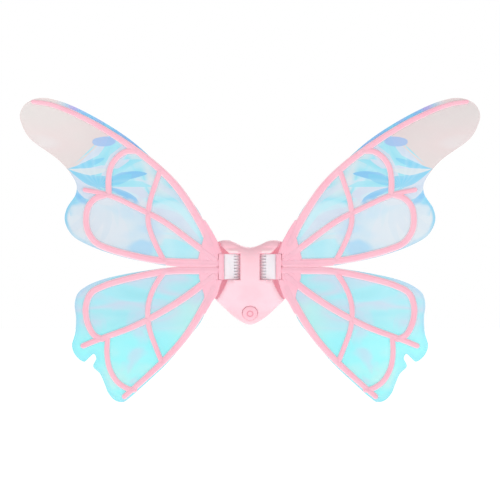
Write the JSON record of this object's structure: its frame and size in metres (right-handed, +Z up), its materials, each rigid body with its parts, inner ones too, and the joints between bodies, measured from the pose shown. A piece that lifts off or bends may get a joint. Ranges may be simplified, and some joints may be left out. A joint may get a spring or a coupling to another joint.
{
  "type": "motorised fairy wings",
  "caption": "Heart-shaped drive casing with a round push button and two pairs of butterfly wings of iridescent film on pink moulded frames, which flap about upright hinges.",
  "frame": {"origin": "on the casing's flat back face, on the centre line, at the height of the middle of the hinge pins", "axes": "+X to the viewer's right across the wings, -Y out of the heart's front, +Y towards the wearer, +Z up"},
  "size_m": [0.6, 0.0462, 0.3965],
  "materials": {
    "casing_pink": "satin, moulded",
    "frame_pink": "semi-gloss, moulded",
    "arm_white": "semi-gloss, moulded",
    "gear_white": "satin, moulded",
    "film": "clear iridescent film",
    "steel": "bright",
    "brass": "satin",
    "board": "solder mask",
    "switch_black": "matt",
    "cell": "printed wrap"
  },
  "bodies": {
    "casing": {"front_cover": "casing_pink", "back_cover": "casing_pink", "chassis": "casing_pink", "switch_body": "switch_black", "circuit_board": "board", "crank_axle": "steel", "motor_gearbox": "brass", "motor_can": "steel", "battery_1": "cell", "battery_2": "cell", "battery_3": "cell", "contact_left": "steel", "contact_right": "steel", "case_screw_tip": "steel", "case_screw_right_1": "steel", "case_screw_right_2": "steel", "hinge_pin_right": "steel", "case_screw_left_1": "steel", "case_screw_left_2": "steel", "hinge_pin_left": "steel"},
    "arm_right": {"arm_right": "arm_white"},
    "wing_right": {"wing_hub_right": "frame_pink", "upper_frame_right": "frame_pink", "lower_frame_right": "frame_pink", "upper_film_right": "film", "lower_film_right": "film", "wing_screw_right_1": "steel", "wing_screw_right_2": "steel", "wing_screw_right_3": "steel", "wing_screw_right_4": "steel"},
    "arm_left": {"arm_left": "arm_white"},
    "wing_left": {"wing_hub_left": "frame_pink", "upper_frame_left": "frame_pink", "lower_frame_left": "frame_pink", "upper_film_left": "film", "lower_film_left": "film", "wing_screw_left_1": "steel", "wing_screw_left_2": "steel", "wing_screw_left_3": "steel", "wing_screw_left_4": "steel"},
    "slider": {"rack_slider": "gear_white"},
    "crank": {"crank_gear": "gear_white"},
    "pinion": {"motor_pinion": "brass"},
    "button": {"power_button": "frame_pink"},
    "plunger": {"switch_plunger": "switch_black"},
    "door": {"battery_door": "casing_pink", "door_screw": "steel"}
  },
  "joints": [
    {"name": "flap_right", "type": "hinge", "parent": "casing", "child": "arm_right", "pos_m": [0.0205, -0.0305, 0], "axis": [0, 0, -1], "range_deg": [-8, 38]},
    {"name": "flap_left", "type": "hinge", "parent": "casing", "child": "arm_left", "pos_m": [-0.0205, -0.0305, 0], "axis": [0, 0, 1], "range_deg": [-8, 38]},
    {"name": "rack_slide", "type": "slide", "parent": "casing", "child": "slider", "axis": [0, 1, 0], "range_m": [-0.00126, 0.00597]},
    {"name": "crank_spin", "type": "hinge", "parent": "casing", "child": "crank", "pos_m": [0, -0.02892, -0.032], "axis": [0, 0, 1], "continuous": true},
    {"name": "motor_spin", "type": "hinge", "parent": "casing", "child": "pinion", "pos_m": [-0.01381, -0.02443, -0.032], "axis": [0, 0, 1], "continuous": true},
    {"name": "button_press", "type": "slide", "parent": "casing", "child": "button", "axis": [0, 0.9454, 0.3259], "range_m": [0, 0.0012], "stiffness_N_per_m": 600, "springref_m": -0.0012},
    {"name": "switch_press", "type": "slide", "parent": "casing", "child": "plunger", "axis": [0, 0.9454, 0.3259], "range_m": [0, 0.0012]},
    {"name": "wing_release_right", "type": "slide", "parent": "arm_right", "child": "wing_right", "axis": [1, 0, 0], "range_m": [0, 0.028]},
    {"name": "wing_release_left", "type": "slide", "parent": "arm_left", "child": "wing_left", "axis": [-1, 0, 0], "range_m": [0, 0.028]},
    {"name": "door_lift", "type": "slide", "parent": "casing", "child": "door", "axis": [0, 1, 0], "range_m": [0, 0.03]}
  ],
  "couplings": [
    {"joint": "flap_left", "follows": "flap_right", "ratio": 1},
    {"joint": "rack_slide", "follows": "flap_right", "m_per_rad": 0.009},
    {"joint": "motor_spin", "follows": "crank_spin", "ratio": -3},
    {"joint": "switch_press", "follows": "button_press", "ratio": 1}
  ]
}
